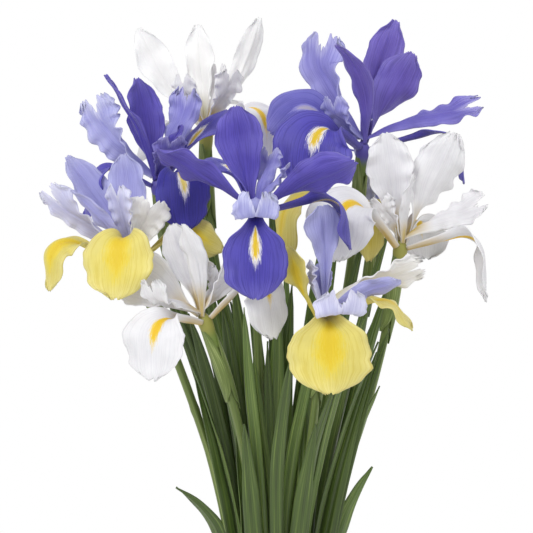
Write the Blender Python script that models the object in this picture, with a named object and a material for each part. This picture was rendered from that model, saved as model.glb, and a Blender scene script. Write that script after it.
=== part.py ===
"""Nine cut Dutch irises in a plain turned vase.

Metres, +Z up.  The origin is the middle of the vase's foot, on the surface it stands on.
+X is the arrangement's right-hand side and -Y is its front, where the lowest blooms lean out.

Each iris is built as it grows: a stem that ends in the flower tube, three falls, three standards and
three style arms.  Falls, standards and style arms are three whorls, one inside the other on the tube.
Narrow leaves clasp the stems and part from them higher up.
"""
import math

import bmesh
import bpy
import numpy as np
from mathutils import Matrix, Vector

MM = 0.001

# ---- Vase -------------------------------------------------------------------------------------------
VASE_HEIGHT = 192 * MM
VASE_WALL = 4.0 * MM
VASE_FLOOR = 8.0 * MM
FOOT_RADIUS = 37.0 * MM
BELLY_RADIUS = 50.0 * MM
BELLY_HEIGHT = 72 * MM
MOUTH_RADIUS = 32.0 * MM
FOOT_FLARE = 4.0 * MM       # how far the wall flares over the foot's height
FOOT_HEIGHT = 6.0 * MM
BELLY_EASE = 3.5 * MM       # how far inside the belly's radius the wall is, half-way up to it
SHOULDER_EASE = 2.5 * MM    # and on the shoulder
NECK_EASE = 4.7 * MM        # how much wider the vase is at the bottom of its neck than at the mouth
LIP_HEIGHT = 2.0 * MM
FLOOR_EASE = 1.5 * MM       # how far the floor's edge is inside the foot's
VASE_SEGMENTS = 28

# ---- The bundle: every stem keeps its place in the bunch, which narrows to a waist inside the vase ----
WAIST_DEPTH = 72 * MM       # the waist is this far below the vase's mouth
WAIST_HEIGHT = VASE_HEIGHT - WAIST_DEPTH
WAIST_SHARE = 0.755         # the bunch's width at the waist, as a share of its width at the vase's mouth
FOOT_SPREAD = 0.14          # how much wider the bunch is at the cut ends than at the waist
BUNDLE_TWIST = math.radians(16)   # how far the bunch turns over TWIST_LENGTH of its height
TWIST_LENGTH = 192 * MM
MOUTH_CLEARANCE = 2 * MM    # the bunch stays this far inside the vase's mouth
BUNCH_RADIUS = MOUTH_RADIUS - MOUTH_CLEARANCE
SPREAD_RISE = 110 * MM      # this far above the mouth the bunch has spread to SPREAD_RADIUS
SPREAD_RADIUS = 69.614 * MM
SPREAD_POWER = (math.log((SPREAD_RADIUS / BUNCH_RADIUS - WAIST_SHARE) / (1 - WAIST_SHARE))
                / math.log(1 + SPREAD_RISE / WAIST_DEPTH))

# ---- Stems ------------------------------------------------------------------------------------------
STEM_RADIUS = 2.3 * MM
SPATHE_RADIUS = 4.0 * MM
SPATHE_LENGTH = 58 * MM
TUBE_RADIUS = 4.4 * MM
NECK_LENGTH = 52 * MM       # the last stretch, along which a stem nods
NECK_BEND = 45 * MM         # the stretch below it, over which the bend happens
FOOT_CLEARANCE = 1.5 * MM   # the cut stem ends stay this far above the vase's floor
SWELL = (.45, 1)            # the shares of the spathe, down from the top, between which it swells
NECK = (.05, .35)           # and between which it closes in on the flower tube
STEM_ROUNDNESS = 2
STRAIGHT_STEPS = 6
BEND_STEPS = 8

# ---- Flower tube: three rings, one inside the other ---------------------------------------------------
JOINT_GAP = 0.35 * MM       # between the stem's top and the rings
FALL_RING = (3.4 * MM, 4.6 * MM, 4.0 * MM)       # inner radius, outer radius, height
STANDARD_RING = (2.0 * MM, 3.0 * MM, 6.5 * MM)
STYLE_RING = (0, 1.5 * MM, 9.5 * MM)             # a solid column
RING_SIDES = 9
SHARP_ANGLE = math.radians(50)
MERGE = 1e-6                # corners closer than this, in metres, are one
PETAL_THICKNESS = 1.0 * MM
FALL_BEND = 0.2             # half the share of a fall over which its blade bends down
ARCH_SPAN = (.1, .6)        # the shares of a style arm between which it arches over
CREST_SPAN = (.62, .9)      # and between which its crest rears up
TWIST_SPAN = (.05, .5)      # the shares of any petal between which it twists

# ---- Petal outlines: (share of the length, half-width as a share of the widest) ------------------------
FALL_OUTLINE = ((0, .13), (.15, .20), (.34, .29), (.44, .50), (.56, .92), (.72, 1.0), (.88, .82), (1, .40))
STANDARD_OUTLINE = ((0, .12), (.15, .17), (.42, .66), (.62, 1.0), (.82, .86), (.94, .55), (1, .28))
STYLE_OUTLINE = ((0, .12), (.16, .22), (.4, .68), (.62, .84), (.8, 1.0), (1, .72))
LEAF_OUTLINE = ((0, .80), (.2, 1.0), (.5, .92), (.8, .58), (.93, .30), (1, .07))
LEAF_HOOP = ((0, 45), (.25, 32), (.6, 24), (1, 10))
SHEET_COLUMNS = 2           # steps across every petal and leaf
TIP_ROUNDING = 2.2          # how squarely a round tip falls away to its sides
NOTCH_SHARE = .3            # the share of the width that a notch takes
SPINE_STEPS = 40
FLAT = 1e-3                 # an arc flatter than this, in radians, is drawn as this one

# Petal kinds: length, half-width at the widest, how round and how notched the tip is, the hoop that each
# cross-section makes (share of the length, half-angle in degrees; a positive hoop sheds water, a negative one
# holds it) and the steps up the petal.
FALL = dict(length=62 * MM, width=15.5 * MM, tip_round=.06, notch=.01, rows=8,
            outline=FALL_OUTLINE, hoop=((0, -50), (.45, -25), (.65, 14), (1, 24)))
STANDARD = dict(length=60 * MM, width=12 * MM, tip_round=.05, notch=.01, rows=6,
                outline=STANDARD_OUTLINE, hoop=((0, -70), (.5, -36), (1, -16)))
STYLE = dict(length=50 * MM, width=8.5 * MM, tip_round=.03, notch=.20, rows=6,
             outline=STYLE_OUTLINE, hoop=((0, 60), (.45, 45), (.7, 15), (1, -20)))

# Falls, standards and style arms are (azimuth, rise, end, length share, width share, twist, sway, turn).
# Azimuth 0 points to the front and 90 to the right.  Rise and end are pitches above the level, at the claw
# and the tip.  Twist turns the petal about its middle line and sway swings it sideways.  Turn is the share of a
# fall at which its blade bends down, and the angle by which a style arm's crest rears up.
FLOWERS = {
    "blue_centre": dict(
        head=(-12, -40, 167.5), lean=(0, 12),
        falls=((0, 8, -86, .94, 1, 0, 0, .32),
               (100, 14, -84, 1.0, .95, -20, -45, .6),
               (-150, 50, 10, .85, .8, 0, 0, .5)),
        standards=((-130, 74, 82, .84, 1, -50, 0, 0),
                   (-78, 36, 28, .92, .9, 35, 0, 0),
                   (56, 27, 20, 1.0, 1, -35, 0, 0)),
        style_arms=((0, 14, -40, .86, 1.15, 0, 0, 140),
                    (84, 54, 40, .5, .7, 0, 0, 20),
                    (150, 66, 50, .6, .8, 0, 0, 20))),
    "blue_left": dict(
        head=(-61, 10, 179), lean=(-90, 8),
        falls=((24, 20, -86, .92, .92, 0, 0, .49),
               (-72, 25, -80, .88, .9, 0, 0, .5),
               (128, 52, 30, .9, .8, 0, 0, .6)),
        standards=((-150, 74, 82, .88, .9, -40, 60, 0),
                   (-32, 68, 58, 1, .6, 0, -66, 0),
                   (66, 72, 60, .5, .6, 30, 0, 0)),
        style_arms=((22, 44, 26, .6, .9, 0, 0, 30),
                    (-88, 42, 46, 1.02, 1.25, 40, 0, 20),
                    (128, 66, 60, .95, 1, 40, -20, 20))),
    "blue_right": dict(
        head=(42, 25, 197), lean=(30, 8),
        falls=((-44, 28, -78, .98, 1.3, -35, 0, .49),
               (92, 15, -88, 1.12, .8, 0, 0, .62),
               (-84, 44, -46, .92, .75, -60, 0, .60)),
        standards=((172, 66, 70, 1.12, .82, 75, -84, 0),
                   (140, 60, 60, .88, .95, -75, -90, 0),
                   (20, 84, 44, .95, .55, 20, -108, 0)),
        style_arms=((-60, 38, 34, .6, 1, 0, 15, 45),
                    (82, 25, 8, 1.24, .8, 50, 0, 12),
                    (-120, 56, 58, 1.2, 1.6, 60, 24, 40))),
    "white_back": dict(
        head=(-38, 52, 203), lean=(180, 6),
        falls=((56, 34, -86, 1.05, 1, 0, 0, .49),
               (-72, 16, -60, .7, .9, 0, 0, .5),
               (172, 44, 0, .85, .9, 0, 0, .5)),
        standards=((-100, 50, 66, 1.04, .72, -70, 0, 0),
                   (-165, 76, 84, .93, .65, -40, 20, 0),
                   (94, 58, 76, 1.06, .55, -70, 0, 0)),
        style_arms=((36, 52, 36, .74, .9, 0, 0, 40),
                    (-40, 54, 40, .65, .8, 0, 0, 40),
                    (142, 68, 68, .66, .8, 0, 0, 20))),
    "white_front": dict(
        head=(-36, -45, 116), lean=(-60, 24),
        falls=((-44, 12, -88, .92, 1.15, -15, 0, .49),
               (74, 46, -84, .97, .9, 28, 0, .5),
               (-165, 56, 30, .8, .8, 0, 0, .5)),
        standards=((-92, 38, 24, .84, 1.25, -70, 0, 0),
                   (-140, 72, 60, .8, .8, -40, 10, 0),
                   (-8, 82, 64, .8, .5, 30, -60, 0)),
        style_arms=((-46, 22, 4, .80, .95, 0, 0, 60),
                    (84, 56, 42, .58, .8, -50, 0, 10),
                    (140, 52, 50, .5, .7, 0, 0, 20))),
    "white_right": dict(
        head=(60, 2, 148), lean=(80, 8),
        falls=((72, 16, -88, 1.1, 1, -20, 0, .52),
               (-52, 46, -86, 1.14, 1.15, -30, 0, .55),
               (160, 35, -60, .9, .9, 0, 0, .5)),
        standards=((-118, 84, 82, .92, .98, -60, 0, 0),
                   (138, 58, 68, 1.03, 1.1, -70, -72, 0),
                   (18, 76, 76, .6, .5, 30, 30, 0)),
        style_arms=((70, 32, 14, .95, 1, 55, 0, 15),
                    (-58, 62, 46, .5, .7, 40, 0, 20),
                    (-176, 60, 40, .7, .7, 0, 0, 30))),
    "lilac_left": dict(
        head=(-70, -24, 143), lean=(-75, 24),
        falls=((-14, 42, -76, .97, 1.1, 0, 0, .45),
               (-72, 24, -87, 1, .72, -15, 0, .6),
               (100, 40, -30, .75, .66, 60, 0, .5)),
        standards=((-160, 86, 74, .86, .85, -50, 20, 0),
                   (-38, 50, 42, .8, .4, 30, -45, 0),
                   (-126, 61, 51, 1.0, .8, -50, 42, 0)),
        style_arms=((-16, 66, 58, .75, .8, 0, -20, 15),
                    (-82, 36, 32, 1.05, 1.05, 40, 0, 15),
                    (48, 64, 54, .6, 1.2, -30, 0, 10))),
    "lilac_front": dict(
        head=(20, -48, 119), lean=(10, 16),
        falls=((6, 4, -80, .93, 1.28, 0, 0, .40),
               (78, 20, -62, .8, .8, 0, 0, .62),
               (-64, 62, 74, .6, .42, 40, 0, .5)),
        standards=((156, 82, 104, .84, .8, 30, 0, 0),
                   (50, 28, 14, .72, .5, -40, 25, 0),
                   (-170, 80, 76, .36, .5, 0, 0, 0)),
        style_arms=((14, 16, -30, .74, 1.2, 0, 0, 120),
                    (92, 34, 8, 1.05, 1, -50, 0, 12),
                    (-76, 76, 70, .44, .6, 0, 0, 10))),
    "lilac_back": dict(
        head=(50, 46, 158), lean=(90, 7),
        falls=((-8, 30, -86, 1.0, .5, 0, 0, .5),
               (64, 62, 8, .7, .6, 0, -40, .5),
               (-100, 24, -86, 1.28, .85, -20, 20, .52)),
        standards=((28, 84, 90, .6, .6, 0, 0, 0),
                   (160, 70, 76, .7, .8, 0, 0, 0),
                   (-80, 74, 78, .7, .8, 0, 0, 0)),
        style_arms=((-32, 56, 50, .5, .6, 0, 0, 10),
                    (100, 60, 50, .3, .5, 0, 0, 10),
                    (-144, 56, 40, .6, .6, 0, 0, 10))),
}

# Leaves: (stem, heights of the base and the tip above the vase's mouth, half-width, how far the tip flares
# out), in mm.
LEAVES = (
    ("blue_centre", -14, 100, 5.0, 5), ("blue_centre", -32, 108, 4.6, 3), ("blue_centre", -46, 78, 4.6, 2),
    ("blue_left", -16, 120, 5.2, 6), ("blue_left", -34, 100, 4.8, 7),
    ("blue_right", -14, 126, 5.2, 4), ("blue_right", -32, 146, 4.8, 2), ("blue_right", -42, 108, 4.0, 4),
    ("white_back", -16, 138, 5.2, 6), ("white_back", -32, 153, 4.8, 2), ("white_back", -46, 118, 4.6, 4),
    ("white_front", -14, 70, 4.8, 4), ("white_front", -32, 60, 4.4, 2),
    ("white_right", -14, 108, 5.0, 4), ("white_right", -30, 96, 4.6, 8),
    ("lilac_left", -14, 94, 4.8, 4),
    ("lilac_front", -14, 70, 4.8, 6), ("lilac_front", -32, 64, 4.6, 3),
    ("lilac_back", -16, 120, 5.2, 4),
)
# Two short outer leaves curl away from the bunch: the same, and the side of the stem they stand on.
CURLED_LEAVES = (("lilac_left", -24, 36, 4.0, 17, -90), ("white_right", -24, 44, 4.0, 9, 70))
LEAF_THICKNESS = 0.9 * MM
LEAF_ROWS = 8
LEAF_GAP = 0.7 * MM         # between a stem and the leaf that clasps it
LEAF_CLASP = 25 * MM        # the stretch of stem that a leaf's base clasps
LEAF_ROOM = 1.6 * MM        # a leaf keeps this far from everything but its own stem
LEAF_SIDES = range(0, 360, 20)      # the sides, stand-offs and sways that a leaf tries
LEAF_STANDOFFS = (0, 2 * MM, 4 * MM, 6 * MM)
LEAF_SWAYS = (0, 9 * MM, -9 * MM, 18 * MM, -18 * MM)
REACH = 5 * MM              # how far above and below a leaf its neighbours count
SEARCH_ROWS = 24            # rows of points on a leaf that is being tried, and on one that is placed
KEPT_ROWS = 40
STEM_FILL = 6
FACE_FRONT = 0.3            # how much a leaf prefers to show its face to the front, against a mm of room

COLOURS = {
    "blue": ((.10, .07, .42), (.13, .09, .45), (.42, .42, .78)),      # falls, standards, style arms
    "white": ((.84, .83, .80), (.88, .87, .85), (.88, .87, .85)),
    "lilac": ((.80, .66, .16), (.46, .46, .74), (.66, .66, .80)),
}
STEM_COLOUR = (.12, .20, .06)
LEAF_COLOUR = (.09, .17, .05)
VASE_COLOUR = (.83, .81, .77)


def material(name, colour, roughness):
    """One Principled material."""
    made = bpy.data.materials.new(name)
    made.use_nodes = True
    shader = made.node_tree.nodes["Principled BSDF"]
    shader.inputs["Base Color"].default_value = (*colour, 1)
    shader.inputs["Roughness"].default_value = roughness
    shader.inputs["Metallic"].default_value = 0
    return made


def add_object(name, data, finish):
    """Links an object with its material."""
    made = bpy.data.objects.new(name, data)
    bpy.context.scene.collection.objects.link(made)
    data.materials.append(finish)
    return made


def eased(points, at):
    """A smooth value read from (place, value) pairs."""
    for (left, low), (right, high) in zip(points, points[1:]):
        if at <= right:
            share = (at - left) / (right - left)
            share = share * share * (3 - 2 * share)
            return low + (high - low) * share
    return points[-1][1]


def smooth_step(low, high, at):
    """0 below low, 1 above high and a smooth climb between."""
    share = min(1, max(0, (at - low) / (high - low)))
    return share * share * (3 - 2 * share)


# ---- The bundle and the stems ------------------------------------------------------------------------
def bundle_scale(z):
    """The bunch's width at height z, as a share of its width at the vase's mouth."""
    if z < WAIST_HEIGHT:
        return WAIST_SHARE + FOOT_SPREAD * (1 - z / WAIST_HEIGHT) ** 2
    return WAIST_SHARE + (1 - WAIST_SHARE) * ((z - WAIST_HEIGHT) / WAIST_DEPTH) ** SPREAD_POWER


def bundle_point(slot, z):
    """Where the stem that stands at slot in the vase's mouth is, at height z."""
    turned = Matrix.Rotation(BUNDLE_TWIST * (z - VASE_HEIGHT) / TWIST_LENGTH, 2) @ Vector(slot)
    return Vector((*(turned * bundle_scale(z)), z))


def slot_of(point):
    """The place in the vase's mouth of the stem that passes through a point."""
    back = Matrix.Rotation(-BUNDLE_TWIST * (point.z - VASE_HEIGHT) / TWIST_LENGTH, 2)
    return back @ point.xy / bundle_scale(point.z)


def heading(azimuth, pitch):
    """The direction at an azimuth (0 is the front, 90 the right) and a pitch above the level, in degrees."""
    a, p = math.radians(azimuth), math.radians(pitch)
    return Vector((math.sin(a) * math.cos(p), -math.cos(a) * math.cos(p), math.sin(p)))


def flower_axes(flower):
    """The matrix that turns a flower's own directions to the world's: its Z runs up the flower tube."""
    azimuth, angle = flower["lean"]
    up = heading(azimuth, 90 - angle)
    right = Vector((0, 1, 0)).cross(up).normalized()
    return Matrix((right, up.cross(right), up)).transposed()


def flower_head(flower):
    """Where the top of a flower's tube is."""
    return Vector(flower["head"]) * MM + Vector((0, 0, VASE_HEIGHT))


def stem_path(flower):
    """Points up the stem, from its cut end to the top of the flower tube, and the stem's slot."""
    head = flower_head(flower)
    knee = head - flower_axes(flower) @ Vector((0, 0, NECK_LENGTH))
    slot = slot_of(knee)
    bottom = VASE_FLOOR + FOOT_CLEARANCE
    bend_from = knee.z - NECK_BEND
    points = [bundle_point(slot, bottom + (bend_from - bottom) * i / STRAIGHT_STEPS)
              for i in range(STRAIGHT_STEPS)]
    start = bundle_point(slot, bend_from)
    for i in range(BEND_STEPS + 1):
        t = i / BEND_STEPS
        points.append(start * (1 - t) ** 2 + knee * 2 * t * (1 - t) + head * t * t)
    return points, slot


def stem_radius(below_head):
    """The stem is plain until the spathe, which swells and closes in on the flower tube."""
    share = below_head / SPATHE_LENGTH
    swell = 1 - smooth_step(*SWELL, share)
    neck = 1 - smooth_step(*NECK, share)
    return STEM_RADIUS + (SPATHE_RADIUS - STEM_RADIUS) * swell + (TUBE_RADIUS - SPATHE_RADIUS) * neck


def make_stem(name, flower, finish):
    """A stem with its spathe, from the cut end to the flower tube."""
    points, _ = stem_path(flower)
    curve = bpy.data.curves.new(name, "CURVE")
    curve.dimensions = "3D"
    curve.bevel_depth = STEM_RADIUS
    curve.bevel_resolution = STEM_ROUNDNESS
    curve.use_fill_caps = True
    spline = curve.splines.new("POLY")
    spline.points.add(len(points) - 1)
    spline.use_smooth = True
    for place, point in zip(spline.points, points):
        place.co = (*point, 1)
        place.radius = stem_radius((points[-1] - point).length) / STEM_RADIUS
    add_object(name, curve, finish)


# ---- Sheets: petals and leaves -------------------------------------------------------------------------
def sheet_point(spine, outline, width, hoop, u, v, trim=0):
    """A point of a sheet: u runs up it and v from -1 to 1 across it, round the arc that hoop gives."""
    point, across, under = spine(u - trim)
    half = width * eased(outline, u)
    bend = math.radians(eased(hoop, u))
    if abs(bend) < FLAT:
        bend = FLAT
    radius = half / bend
    return point + across * radius * math.sin(bend * v) + under * radius * (1 - math.cos(bend * v))


def sheet(name, spine, outline, width, hoop, rows, thickness, tip_round=0, notch=0):
    """A thin curved sheet.  spine(u) gives a point, the direction across and the side its edges bend to."""
    mesh = bpy.data.meshes.new(name)
    grid = bmesh.new()
    bmesh.ops.create_grid(grid, x_segments=SHEET_COLUMNS, y_segments=rows, size=1)
    for vert in grid.verts:
        v, u = vert.co.x, (vert.co.y + 1) / 2
        trim = (tip_round * abs(v) ** TIP_ROUNDING + notch * max(0, 1 - abs(v) / NOTCH_SHARE)) * u ** 3
        vert.co = sheet_point(spine, outline, width, hoop, u, v, trim)
    grid.to_mesh(mesh)
    grid.free()
    mesh.shade_smooth()
    made = bpy.data.objects.new(name, mesh)
    bpy.context.scene.collection.objects.link(made)
    solid = made.modifiers.new("thickness", "SOLIDIFY")
    solid.thickness = thickness
    solid.offset = 0
    return made


def petal_spine(root, azimuth, sway, pitch, length, twist):
    """The middle line of a petal that leaves root at an azimuth, sways from it and follows pitch(u)."""
    points, sides, inner = [root.copy()], [], []
    for i in range(SPINE_STEPS + 1):
        u = i / SPINE_STEPS
        along = heading(azimuth + sway * u, pitch(u))
        level = heading(azimuth + sway * u + 90, 0)
        across = Matrix.Rotation(math.radians(twist) * smooth_step(*TWIST_SPAN, u), 3, along) @ level
        sides.append(across)
        inner.append(across.cross(along).normalized())
        points.append(points[-1] + along * length / SPINE_STEPS)

    def spine(u):
        step = max(0, min(SPINE_STEPS - 1e-6, u * SPINE_STEPS))
        i = int(step)
        return [row[i].lerp(row[i + 1], step - i) for row in (points, sides, inner)]
    return spine


def fall_pitch(rise, end, turn):
    """A fall reaches out at its rise, and its blade bends down round the turn."""
    return lambda u: rise + (end - rise) * smooth_step(turn - FALL_BEND, turn + FALL_BEND, u)


def standard_pitch(rise, end, turn):
    """A standard curves evenly from its claw to its tip."""
    return lambda u: rise + (end - rise) * u


def style_pitch(rise, end, turn):
    """A style arm arches over, and its crest rears up again by the turn."""
    return lambda u: rise + (end - rise) * smooth_step(*ARCH_SPAN, u) + turn * smooth_step(*CREST_SPAN, u)


def petal(name, head, axes, spec, kind, pitch_of, root_radius, root_height):
    """One petal, as a helper that its whorl takes in."""
    azimuth, rise, end, long, wide, twist, sway, turn = spec
    root = head + axes @ (heading(azimuth, 0) * root_radius + Vector((0, 0, root_height)))
    spine = petal_spine(root, azimuth, sway, pitch_of(rise, end, turn), kind["length"] * long, twist)
    made = sheet(name, spine, kind["outline"], kind["width"] * wide, kind["hoop"], kind["rows"],
                 PETAL_THICKNESS, kind["tip_round"], kind["notch"])
    made.hide_render = True
    made.display_type = "WIRE"
    return made


def turned(name, profile, segments, closed=True):
    """A mesh turned round Z from (radius, height) points."""
    mesh = bpy.data.meshes.new(name)
    shape = bmesh.new()
    verts = [shape.verts.new((r, 0, z)) for r, z in profile]
    edges = [shape.edges.new(pair) for pair in zip(verts, verts[1:])]
    if closed:
        edges.append(shape.edges.new((verts[-1], verts[0])))
    bmesh.ops.spin(shape, geom=verts + edges, cent=(0, 0, 0), axis=(0, 0, 1), angle=math.tau,
                   steps=segments, use_merge=True)
    bmesh.ops.remove_doubles(shape, verts=shape.verts, dist=MERGE)
    bmesh.ops.recalc_face_normals(shape, faces=shape.faces)
    shape.to_mesh(mesh)
    shape.free()
    mesh.shade_smooth()
    mesh.set_sharp_from_angle(angle=SHARP_ANGLE)
    return mesh


def tube_ring(name, ring, head, axes, finish):
    """One ring of the flower tube.  A ring with no hole is a solid column."""
    inner, outer, height = ring
    if inner:
        mesh = turned(name, ((outer, 0), (outer, height), (inner, height), (inner, 0)), RING_SIDES)
    else:
        mesh = turned(name, ((0, 0), (outer, 0), (outer, height), (0, height)), RING_SIDES, False)
    mesh.transform(Matrix.Translation(head) @ axes.to_4x4())
    return add_object(name, mesh, finish)


def make_flower(name, flower, finishes):
    """The three whorls of a flower, each of three petals joined to their ring of the tube."""
    axes = flower_axes(flower)
    head = flower_head(flower) + axes @ Vector((0, 0, JOINT_GAP))
    for (whorl, kind, pitch_of, ring, root_height), finish in zip(WHORLS, finishes):
        made = tube_ring(f"{name}_{whorl}", ring, head, axes, finish)
        root_radius = (ring[0] + ring[1]) / 2
        for i, spec in enumerate(flower[whorl]):
            piece = petal(f"{name}_{whorl}_{i}", head, axes, spec, kind, pitch_of, root_radius,
                          ring[2] * root_height)
            union = made.modifiers.new(piece.name, "BOOLEAN")
            union.operation = "UNION"
            union.solver = "EXACT"
            union.object = piece


# The whorls: name, petal kind, how its petals curve, its ring, and where on the ring's height they are rooted.
WHORLS = (("falls", FALL, fall_pitch, FALL_RING, .5),
          ("standards", STANDARD, standard_pitch, STANDARD_RING, .8),
          ("style_arms", STYLE, style_pitch, STYLE_RING, .85))


# ---- Leaves ------------------------------------------------------------------------------------------
def leaf_spine(slot, side, standoff, base, tip, flare, sway):
    """The middle line of a leaf that stands off one side of its stem, and flares and sways above the mouth."""
    clasp = STEM_RADIUS + LEAF_GAP + LEAF_THICKNESS / 2 + standoff
    outward = heading(side, 0)

    def spine(u):
        z = base + (tip - base) * u
        point = bundle_point(slot, z)
        along = (bundle_point(slot, z + MM) - point).normalized()
        out = (outward - along * outward.dot(along)).normalized()
        across = along.cross(out)
        free = max(0, (z - VASE_HEIGHT) / (tip - VASE_HEIGHT)) ** 2
        return point + out * (clasp + flare * free) + across * sway * free, across, -out
    return spine


def leaf_points(spine, width, rows):
    """Points all over a leaf, five to a row."""
    return [sheet_point(spine, LEAF_OUTLINE, width, LEAF_HOOP, row / rows, column / 2)
            for row in range(rows + 1) for column in range(-2, 3)]


def leaf_room(spine, width, taken):
    """The space between a leaf and what is there already: less than nothing where they would meet."""
    points = leaf_points(spine, width, SEARCH_ROWS)
    for point in points:
        if point.xy.length > BUNCH_RADIUS * bundle_scale(point.z):
            return -1
    places, radii = taken
    gaps = np.linalg.norm(np.array(points)[:, None] - places[None], axis=2) - radii[None]
    return gaps.min() - LEAF_THICKNESS / 2


def petal_points():
    """The corners and face centres of every petal, as things a leaf has to pass."""
    points = []
    for made in bpy.data.objects:
        if made.type == "MESH" and made.hide_render:
            points += [vert.co.copy() for vert in made.data.vertices]
            points += [face.center.copy() for face in made.data.polygons]
    return points


def stem_points(name):
    """Points up the middle of a stem, with the stem's radius at each."""
    points, _ = stem_path(FLOWERS[name])
    filled = [a.lerp(b, i / STEM_FILL) for a, b in zip(points, points[1:]) for i in range(STEM_FILL)]
    return [(point, stem_radius((points[-1] - point).length)) for point in filled]


def choose_leaf(stem, base, tip, width, flare, taken):
    """A leaf takes the side of its stem that shows its face to the front, if it has room there.  It stands off
    or sways only as far as it must to find room."""
    _, slot = stem_path(FLOWERS[stem])
    best, best_score, most_room = None, -math.inf, -math.inf
    for standoff in LEAF_STANDOFFS:
        for sway in LEAF_SWAYS:
            for side in LEAF_SIDES:
                spine = leaf_spine(slot, side, standoff, base, tip, flare, sway)
                room = leaf_room(spine, width, taken)
                score = min(room, LEAF_ROOM) / MM + FACE_FRONT * abs(math.cos(math.radians(side)))
                most_room = max(most_room, room)
                if score > best_score:
                    best, best_score = spine, score
            if most_room > LEAF_ROOM:
                return best
    return best


def make_leaves(finish):
    """Every leaf in turn, each clear of the stems, the petals and the leaves before it."""
    stems = {name: stem_points(name) for name in FLOWERS}
    placed = [(point, PETAL_THICKNESS) for point in petal_points()]
    count = {}
    for stem, base, tip, width, flare, *side in CURLED_LEAVES + LEAVES:
        base, tip = VASE_HEIGHT + base * MM, VASE_HEIGHT + tip * MM
        width, flare = width * MM, flare * MM
        own = [pair for pair in stems[stem] if pair[0].z > base + LEAF_CLASP]
        others = [pair for name in stems if name != stem for pair in stems[name]]
        near = [pair for pair in own + others + placed if base - REACH < pair[0].z < tip + REACH]
        taken = np.array([point for point, _ in near]), np.array([radius for _, radius in near])
        if side:
            spine = leaf_spine(stem_path(FLOWERS[stem])[1], *side, 0, base, tip, flare, 0)
        else:
            spine = choose_leaf(stem, base, tip, width, flare, taken)
        count[stem] = count.get(stem, 0) + 1
        made = sheet(f"{stem}_leaf_{count[stem]}", spine, LEAF_OUTLINE, width, LEAF_HOOP, LEAF_ROWS,
                     LEAF_THICKNESS)
        made.data.materials.append(finish)
        placed += [(point, LEAF_THICKNESS / 2) for point in leaf_points(spine, width, KEPT_ROWS)]


# ---- Vase --------------------------------------------------------------------------------------------
def make_vase(finish):
    """A turned vase: a low belly, a soft shoulder and an open mouth with a rounded lip."""
    neck_radius = MOUTH_RADIUS + VASE_WALL
    outer = ((FOOT_RADIUS, 0), (FOOT_RADIUS + FOOT_FLARE, FOOT_HEIGHT),
             (BELLY_RADIUS - BELLY_EASE, BELLY_HEIGHT * .45), (BELLY_RADIUS, BELLY_HEIGHT),
             (BELLY_RADIUS - SHOULDER_EASE, BELLY_HEIGHT * 1.4),
             (neck_radius + NECK_EASE, VASE_HEIGHT * .76), (neck_radius, VASE_HEIGHT * .9),
             (neck_radius, VASE_HEIGHT - LIP_HEIGHT))
    lip = ((neck_radius - VASE_WALL / 2, VASE_HEIGHT),)
    inner = tuple((radius - VASE_WALL, z) for radius, z in reversed(outer[2:]))
    floor = ((FOOT_RADIUS - FLOOR_EASE, VASE_FLOOR), (0, VASE_FLOOR))
    profile = ((0, 0),) + outer + lip + inner + floor
    add_object("vase", turned("vase", profile, VASE_SEGMENTS, False), finish)


def main():
    """Clears the scene and builds the arrangement."""
    for old in list(bpy.data.objects):
        bpy.data.objects.remove(old)
    stem_finish = material("stem_green", STEM_COLOUR, .5)
    leaf_finish = material("leaf_green", LEAF_COLOUR, .45)
    petal_finishes = {kind: [material(f"{kind}_{part}", colour, .6)
                             for part, colour in zip(("falls", "standards", "style_arms"), colours)]
                      for kind, colours in COLOURS.items()}
    make_vase(material("vase_glaze", VASE_COLOUR, .3))
    for name, flower in FLOWERS.items():
        make_stem(f"{name}_stem", flower, stem_finish)
        make_flower(name, flower, petal_finishes[name.split("_")[0]])
    make_leaves(leaf_finish)


main()
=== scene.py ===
"""Nine cut Dutch irises in a plain turned vase."""
import math

import bmesh
import bpy
from mathutils import Matrix, Vector, noise


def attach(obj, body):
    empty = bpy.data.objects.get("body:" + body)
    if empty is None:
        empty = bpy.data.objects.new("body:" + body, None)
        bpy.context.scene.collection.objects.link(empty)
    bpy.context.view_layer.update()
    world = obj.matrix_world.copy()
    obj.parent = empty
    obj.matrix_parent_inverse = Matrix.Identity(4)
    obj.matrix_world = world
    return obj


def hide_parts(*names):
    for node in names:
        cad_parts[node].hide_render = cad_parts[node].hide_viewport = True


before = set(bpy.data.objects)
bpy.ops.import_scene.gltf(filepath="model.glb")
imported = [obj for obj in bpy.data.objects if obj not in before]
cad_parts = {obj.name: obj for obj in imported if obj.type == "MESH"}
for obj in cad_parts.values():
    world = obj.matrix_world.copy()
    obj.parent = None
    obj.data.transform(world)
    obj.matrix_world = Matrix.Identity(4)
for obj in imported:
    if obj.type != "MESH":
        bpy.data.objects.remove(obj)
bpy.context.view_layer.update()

MM = 0.001
WELD = 1e-6         # corners closer than this are one corner

# ---- The vase -------------------------------------------------------------------------------------------
# A stoneware vase turned on a wheel, dipped in a pale glaze that stops short of the foot.  The clay shows
# bare below it, and the wheel's faint rings and a few iron specks show through the glaze.
VASE_HEIGHT = 192 * MM
VASE_WALL = 4.0 * MM
VASE_FLOOR = 8.0 * MM
FOOT_RADIUS = 37.0 * MM
BELLY_RADIUS = 50.0 * MM
BELLY_HEIGHT = 72 * MM
MOUTH_RADIUS = 32.0 * MM
GLAZE_LINE = 5.0 * MM
FOOT_RISE = 6 * MM          # the flare of the foot: how high it runs, and how far it widens
FOOT_FLARE = 4 * MM
FOOT_RING = 6 * MM          # the ring it stands on, and the hollow inside the ring
FOOT_HOLLOW = 1.2 * MM
UNDER_BELLY = 3.5 * MM      # how much narrower than the belly it is, a little below and a little above
OVER_BELLY = 2.5 * MM
NECK_EASE = 4.7 * MM        # how much wider than the neck it still is where the shoulder ends
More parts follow.
